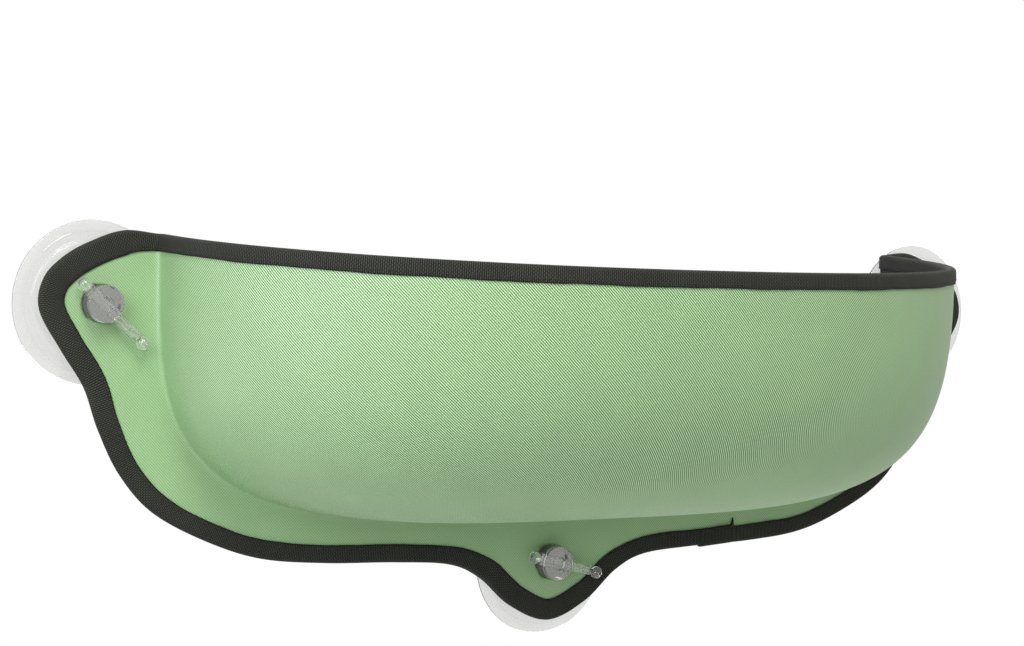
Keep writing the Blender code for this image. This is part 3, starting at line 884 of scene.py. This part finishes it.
def ranged(tree, value, low, high, to_low, to_high):
    """A value mapped from one range to another, held at the ends."""
    inputs = {"Value": value, "From Min": low, "From Max": high, "To Min": to_low, "To Max": to_high}
    return add_node(tree, "ShaderNodeMapRange", inputs).outputs["Result"]


def blend_colours(tree, share, first, second, kind="MIX"):
    """Two colours mixed by a share."""
    node = add_node(tree, "ShaderNodeMix", data_type="RGBA", blend_type=kind)
    for socket, value in ((0, share), (6, first), (7, second)):
        if isinstance(value, bpy.types.NodeSocket):
            tree.links.new(value, node.inputs[socket])
        elif socket == 0:
            node.inputs[0].default_value = value
        else:
            node.inputs[socket].default_value = (*value, 1.0)
    return node.outputs[2]


def shaded(tree, colour, shade):
    """A colour times a plain value."""
    grey = add_node(tree, "ShaderNodeCombineColor", {0: shade, 1: shade, 2: shade})
    return blend_colours(tree, 1.0, colour, grey.outputs[0], "MULTIPLY")


def own_place(tree):
    """A point's place on the object."""
    return add_node(tree, "ShaderNodeTexCoord").outputs["Object"]


def own_value(tree, name):
    """A value that the mesh keeps at each point."""
    return add_node(tree, "ShaderNodeAttribute", attribute_name=name).outputs["Fac"]


def finish_shader(tree, shader, colour, roughness, height, distance, strength):
    """Join a colour, a roughness and a height to the shader, the height as a bump."""
    tree.links.new(colour, shader.inputs["Base Color"])
    tree.links.new(roughness, shader.inputs["Roughness"])
    bump = add_node(tree, "ShaderNodeBump", {"Height": height, "Distance": distance, "Strength": strength})
    tree.links.new(bump.outputs["Normal"], shader.inputs["Normal"])


def cloth_place(tree, sway, sway_scale):
    """The cloth's own flat place, swayed a little so that no thread is quite straight."""
    place = add_node(tree, "ShaderNodeUVMap", uv_map="cloth").outputs["UV"]
    where = add_node(tree, "ShaderNodeTexNoise", {"Vector": place, "Scale": sway_scale, "Detail": 2.0})
    centred = vector_maths(tree, "SUBTRACT", where.outputs["Color"], (0.5, 0.5, 0.5))
    moved = vector_maths(tree, "MULTIPLY", centred, (sway, sway, 0.0))
    return place, vector_maths(tree, "ADD", place, moved)


def both_ways(tree, pattern, swayed):
    """A pattern laid by the cloth's own place on walls and flange, and by X and Y underneath."""
    share = ranged(tree, own_value(tree, "underside"), 0.8, 0.92, 0.0, 1.0)
    first, second = pattern(tree, swayed), pattern(tree, own_place(tree))
    return times(tree, share, maths(tree, "SUBTRACT", second, first), first)


def twill_weave(tree, place):
    """Height of twill: diagonal ribs, each a row of short raised threads, set off rib by rib."""
    lean = (math.sin(TWILL_LEAN), math.cos(TWILL_LEAN))
    across = dot(tree, place, (lean[0] / TWILL_RIB, lean[1] / TWILL_RIB, 0.0))
    along = dot(tree, place, (lean[1] / TWILL_THREAD, -lean[0] / TWILL_THREAD, 0.0))
    step = times(tree, maths(tree, "FLOOR", maths(tree, "ADD", across, 0.5)), TWILL_STEP)
    thread = wave(tree, maths(tree, "ADD", along, step))
    return times(tree, wave(tree, across), times(tree, thread, 0.3, 0.7))


def twill():
    """Green twill: diagonal ribs little more than a millimetre apart, with slightly uneven dye.

    Where the cloth is pressed flat, on the flange and just above it, and where it is drawn
    tight, at the right end, the height moves towards its mean.
    """
    sheen = {"Sheen_Weight": 0.03, "Sheen_Roughness": 0.5, "Sheen_Tint": (0.9, 1.0, 0.88, 1.0)}
    made, tree, shader = new_material("green_twill", Specular_IOR_Level=1.0, **sheen)
    place, swayed = cloth_place(tree, 0.5 * MM, 140.0)
    height = both_ways(tree, twill_weave, swayed)
    forward = dot(tree, own_place(tree), (0.0, -1.0, 0.0))
    pressed = ranged(tree, forward, FLANGE_FRONT + 3 * MM, FLANGE_FRONT + 14 * MM, 0.67, 0.0)
    drawn = ranged(tree, own_value(tree, "drawn_end"), 0.25, 0.38, 0.0, 0.85)
    level = maths(tree, "MAXIMUM", pressed, drawn)
    height = times(tree, level, maths(tree, "SUBTRACT", TWILL_MEAN, height), height)
    tone = noise(tree, place, 900.0, 2.0)
    patch = noise(tree, place, 28.0, 3.0, 0.6)
    gap = (0.04, 0.072, 0.03)
    crown = (0.534, 0.873, 0.413)
    colour = blend_colours(tree, ranged(tree, height, 0.0, 0.9, 0.0, 1.0), gap, crown)
    grey = ranged(tree, patch, 0.3, 0.7, 0.965, 1.035)
    fine = ranged(tree, tone, 0.3, 0.7, 0.94, 1.06)
    colour = shaded(tree, colour, times(tree, grey, fine))
    roughness = ranged(tree, height, 0.0, 1.0, 0.6, 0.45)
    finish_shader(tree, shader, colour, roughness, height, 0.16 * MM, 0.8)
    return made


def knit_loops(tree, place):
    """Height of knit: columns of small loops, each a slanted pair of yarns."""
    wale = wave(tree, dot(tree, place, (1 / KNIT_WALE, 0.0, 0.0)))
    slope = maths(tree, "ABSOLUTE", maths(tree, "SUBTRACT", wale, 0.5))
    course = wave(tree, maths(tree, "ADD", dot(tree, place, (0.0, 1 / KNIT_COURSE, 0.0)), slope))
    return times(tree, times(tree, wale, 0.6, 0.4), times(tree, course, 0.5, 0.5))


def knit_lining():
    """Dark knit: columns of small loops, with a soft nap."""
    sheen = {"Sheen_Weight": 0.2, "Sheen_Roughness": 0.5, "Sheen_Tint": (0.5, 0.52, 0.5, 1.0)}
    made, tree, shader = new_material("dark_knit_lining", Specular_IOR_Level=0.2, **sheen)
    place, swayed = cloth_place(tree, 0.8 * MM, 110.0)
    loop = both_ways(tree, knit_loops, swayed)
    nap = noise(tree, place, 1600.0, 3.0, 0.7)
    patch = noise(tree, place, 22.0, 3.0)
    height = times(tree, nap, 0.5, loop)
    shade = times(tree, ranged(tree, height, 0.2, 1.3, 0.6, 1.25), ranged(tree, patch, 0.3, 0.7, 0.9, 1.1))
    colour = shaded(tree, (0.021, 0.0225, 0.019), shade)
    roughness = ranged(tree, height, 0.2, 1.3, 0.98, 0.85)
    finish_shader(tree, shader, colour, roughness, height, 0.25 * MM, 0.7)
    return made


def ribbed_tape():
    """Charcoal tape: fine ribs across its width, a few lighter fibres, and painted shadow darkening its
    free edge on the room face.
    """
    sheen = {"Sheen_Weight": 0.03, "Sheen_Roughness": 0.4, "Sheen_Tint": (0.6, 0.6, 0.58, 1.0)}
    made, tree, shader = new_material("charcoal_ribbed_tape", Specular_IOR_Level=0.2, **sheen)
    place, swayed = cloth_place(tree, 0.35 * MM, 160.0)
    along = dot(tree, swayed, (1 / TAPE_RIB, 0.0, 0.0))
    shift = times(tree, maths(tree, "FLOOR", maths(tree, "ADD", along, 0.5)), 0.5)
    rib = wave(tree, along)
    thread = wave(tree, maths(tree, "ADD", dot(tree, swayed, (0.0, 1 / TAPE_THREAD, 0.0)), shift))
    height = times(tree, maths(tree, "POWER", rib, 0.7), times(tree, thread, 0.55, 0.45))
    fibre = noise(tree, place, 1300.0, 3.0, 0.65)
    patch = noise(tree, place, 35.0, 3.0, 0.6)
    wear = ranged(tree, fibre, 0.62, 0.78, 0.0, 0.5)
    patchy = ranged(tree, patch, 0.3, 0.7, 0.88, 1.14)
    edge_way = dot(tree, place, (0.0, 1.0, 0.0))
    shade = times(tree, ranged(tree, height, 0.05, 0.85, 0.1, 2.0), patchy)
    # Painted shadow: within 0.9 mm of its free edge on the room face the tape darkens to a quarter,
    # standing in for the shade where it stands off the twill.
    shade = times(tree, shade, ranged(tree, edge_way, 0.1 * MM, 0.9 * MM, 0.25, 1.0))
    colour = shaded(tree, (0.0275, 0.029, 0.023), shade)
    colour = blend_colours(tree, wear, colour, (0.085, 0.09, 0.078))
    roughness = ranged(tree, height, 0.0, 1.0, 0.9, 0.66)
    rough_height = times(tree, fibre, 0.25, height)
    finish_shader(tree, shader, colour, roughness, rough_height, 0.22 * MM, 0.9)
    return made


def sewing_thread():
    """Black twisted sewing thread."""
    made, tree, shader = new_material("black_sewing_thread", Sheen_Weight=0.05, Specular_IOR_Level=0.2)
    place = add_node(tree, "ShaderNodeUVMap", uv_map="cloth").outputs["UV"]
    twist = wave(tree, dot(tree, place, (1 / (0.7 * MM), 1 / (0.6 * MM), 0.0)))
    fuzz = noise(tree, place, 2500.0, 2.0)
    share = ranged(tree, twist, 0.0, 1.0, 0.1, 1.0)
    colour = blend_colours(tree, share, (0.012, 0.012, 0.011), (0.04, 0.041, 0.038))
    finish_shader(tree, shader, colour, ranged(tree, fuzz, 0.3, 0.7, 0.5, 0.75), twist, 0.1 * MM, 0.7)
    return made


def dark_foam():
    """Charcoal foam with small open cells."""
    made, tree, shader = new_material("dark_foam", Specular_IOR_Level=0.2)
    place = own_place(tree)
    cells = add_node(tree, "ShaderNodeTexVoronoi", {"Vector": place, "Scale": 1400.0}).outputs["Distance"]
    grain = noise(tree, place, 500.0, 3.0)
    share = ranged(tree, cells, 0.1, 0.6, 0.0, 1.0)
    colour = blend_colours(tree, share, (0.02, 0.02, 0.02), (0.07, 0.07, 0.068))
    finish_shader(tree, shader, colour, ranged(tree, grain, 0.3, 0.7, 0.85, 1.0), cells, 0.3 * MM, 0.8)
    return made


def clear_material(name, tint, clearness, ior, rough, ripple_height, absorption):
    """Clear moulded plastic that greys where it is thick, with a soft haze and faint flow lines."""
    made, tree, shader = new_material(name, Transmission_Weight=clearness, IOR=ior)
    place = own_place(tree)
    flow = noise(tree, place, 70.0, 1.0, 0.5)
    haze = noise(tree, place, 35.0, 3.0, 0.6)
    dim = tuple(value * 0.95 for value in tint)
    colour = blend_colours(tree, ranged(tree, haze, 0.3, 0.7, 0.0, 1.0), dim, tint)
    roughness = ranged(tree, haze, 0.3, 0.7, rough, rough * 1.6)
    finish_shader(tree, shader, colour, roughness, flow, ripple_height, 0.5)
    thickness_grey = {"Color": (0.5, 0.5, 0.48, 1.0), "Density": absorption}
    body = add_node(tree, "ShaderNodeVolumeAbsorption", thickness_grey)
    output = next(node for node in tree.nodes if node.type == "OUTPUT_MATERIAL")
    tree.links.new(body.outputs[0], output.inputs["Volume"])
    return made


# The bed

bed_materials = {
    "green_twill": twill(),
    "dark_lining": knit_lining(),
    "charcoal_tape": ribbed_tape(),
    "thread": sewing_thread(),
    "foam": dark_foam(),
    "clear_vinyl": clear_material(
        "clear_vinyl", tint=(0.90, 0.905, 0.885), clearness=0.9, ior=1.46,
        rough=0.02, ripple_height=0.15 * MM, absorption=120.0,
    ),
    "clear_plastic": clear_material(
        "clear_plastic", tint=(0.95, 0.96, 0.95), clearness=0.95, ior=1.6,
        rough=0.01, ripple_height=0.05 * MM, absorption=12.0,
    ),
}


def place_piece(piece, body, slot, *nodes):
    """Give a piece the material of its slot, attach it to its CAD body and hide the CAD nodes that it
    stands for.
    """
    piece.data.materials.clear()
    piece.data.materials.append(bed_materials[slot])
    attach(piece, body)
    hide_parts(*nodes)
    return piece


# Name, node, slot, depth under the room face, thickness, and columns and rows of the grid
LAYERS = (
    ("twill_cover", "outer_cover", "green_twill", 0.0, COVER, (336, 66, 14)),
    ("shell_foam", "foam_core", "foam", COVER + CLEARANCE, FOAM, (224, 36, 12)),
    ("knit_lining", "inner_lining", "dark_lining", COVER + FOAM + 2 * CLEARANCE, LINING, (336, 66, 14)),
)
for name, node, slot, depth, thickness, size in LAYERS:
    layer = place_piece(shell_layer(name, depth, thickness, size), "bed", slot, node)

place_piece(edge_binding(TAPE_STATIONS), "bed", "charcoal_tape", "edge_binding")
place_piece(stitch_row("needle_stitches", "room"), "bed", "thread", "needle_thread")
place_piece(stitch_row("bobbin_stitches", "glass"), "bed", "thread", "bobbin_thread")
for side in CUPS:
    place_piece(suction_cup(side), f"{side}_cup", "clear_vinyl", f"suction_cup_{side}")
    place_piece(locking_pin(side), f"{side}_pin", "clear_plastic", f"locking_pin_{side}")


# Stage, light and camera

WHITE = (1.0, 1.0, 1.0, 1.0)


def sees_white(tree, share=1.0):
    """A share for camera, glossy and transmission rays, which see plain white, and 0 for others."""
    rays = add_node(tree, "ShaderNodeLightPath")
    seen = rays.outputs["Is Camera Ray"]
    for ray in ("Is Glossy Ray", "Is Transmission Ray"):
        seen = maths(tree, "MAXIMUM", seen, rays.outputs[ray])
    return times(tree, seen, share)


def empty_tree(owner):
    """The cleared node tree of a world or a material."""
    owner.use_nodes = True
    owner.node_tree.nodes.clear()
    return owner.node_tree


def mix_with_white(tree, seen, plain, white_kind, output_kind):
    """Lead a plain shader, and by the share seen a white one, to the output."""
    white = add_node(tree, white_kind, {"Color": WHITE, "Strength": 1.0})
    mixed = add_node(tree, "ShaderNodeMixShader", {0: seen, 1: plain.outputs[0], 2: white.outputs[0]})
    tree.links.new(mixed.outputs[0], add_node(tree, output_kind).inputs["Surface"])


def white_world(strength):
    """A world that shows white and lights the bed softly from all round."""
    world = bpy.data.worlds.new("studio")
    bpy.context.scene.world = world
    tree = empty_tree(world)
    soft = add_node(tree, "ShaderNodeBackground", {"Color": WHITE, "Strength": strength})
    mix_with_white(tree, sees_white(tree), soft, "ShaderNodeBackground", "ShaderNodeOutputWorld")


def pale_floor(level, radius):
    """A round pale floor that keeps the bed's shadow and fades to white at its edge."""
    turn = np.linspace(0.0, 2 * math.pi, 96, endpoint=False)
    points = np.stack([radius * np.cos(turn), radius * np.sin(turn), np.full_like(turn, level)], axis=1)
    floor = mesh_piece("floor", points, [list(range(len(turn)))])
    made = bpy.data.materials.new("pale_floor")
    tree = empty_tree(made)
    level_place = vector_maths(tree, "MULTIPLY", own_place(tree), (1.0, 1.0, 0.0))
    out = add_node(tree, "ShaderNodeVectorMath", {0: level_place}, operation="LENGTH").outputs["Value"]
    fade = ranged(tree, out, radius * 0.35, radius * 0.95, 0.0, 1.0)
    plain = add_node(tree, "ShaderNodeBsdfDiffuse", {"Color": (0.86, 0.86, 0.85, 1.0)})
    mix_with_white(tree, sees_white(tree, fade), plain, "ShaderNodeEmission", "ShaderNodeOutputMaterial")
    floor.data.materials.append(made)


def placed(made, axes, place):
    """Set an object's three axes, given as columns, and its place."""
    matrix = Matrix([(*row, 0.0) for row in axes] + [(0.0, 0.0, 0.0, 1.0)])
    matrix.translation = place
    made.matrix_world = matrix


def area_lamp(name, place, target, size, power, colour):
    """A square soft lamp at a place, turned to a target."""
    data = bpy.data.lights.new(name, "AREA")
    data.size = size
    data.energy = power
    data.color = colour
    lamp = new_object(name, data)
    away = unit(np.array(place) - np.array(target))
    side = unit(np.cross((0.0, 0.0, 1.0), away))
    up = np.cross(away, side)
    placed(lamp, np.stack([side, up, away], axis=1), place)


def photo_camera():
    """The camera at the photograph's view, from its place and its three angles.

    The focal length is in pixels of a view 1024 wide.
    """
    focal, view_width, place = 2229.577, 1024, (-0.7391, -1.17577, 0.03368)
    yaw, pitch, roll = 0.54596, -0.03128, 0.02686
    ahead = np.array([math.sin(yaw) * math.cos(pitch), math.cos(yaw) * math.cos(pitch), math.sin(pitch)])
    right = np.array([math.cos(yaw), -math.sin(yaw), 0.0])
    up = np.cross(right, ahead)
    rolled_right = math.cos(roll) * right + math.sin(roll) * up
    rolled_up = -math.sin(roll) * right + math.cos(roll) * up
    data = bpy.data.cameras.new("camera")
    data.sensor_fit = "HORIZONTAL"
    data.sensor_width = 36.0
    data.lens = focal * data.sensor_width / view_width
    data.clip_start, data.clip_end = 0.01, 50.0
    camera = new_object("camera", data)
    placed(camera, np.stack([rolled_right, rolled_up, -ahead], axis=1), place)
    bpy.context.scene.camera = camera


white_world(strength=0.18)
pale_floor(level=-0.75, radius=1.6)
bed_middle = (0.0, -0.08, -0.03)
for name, place, power, colour in (
    ("side_lamp", (-2.0, -1.48, 0.86), 37.0, (0.97, 0.99, 1.10)),
    ("high_lamp", (-0.7, -1.6, 1.96), 52.0, (1.0, 0.99, 0.93)),
    ("low_lamp", (-2.5, 0.59, -0.26), 11.0, (0.97, 0.99, 1.10)),
    ("back_lamp", (1.5, 2.2, 1.3), 20.0, (1.0, 1.0, 1.0)),
):
    area_lamp(name, place, bed_middle, 1.4, power, colour)
photo_camera()
bpy.context.scene.view_settings.view_transform = "Standard"
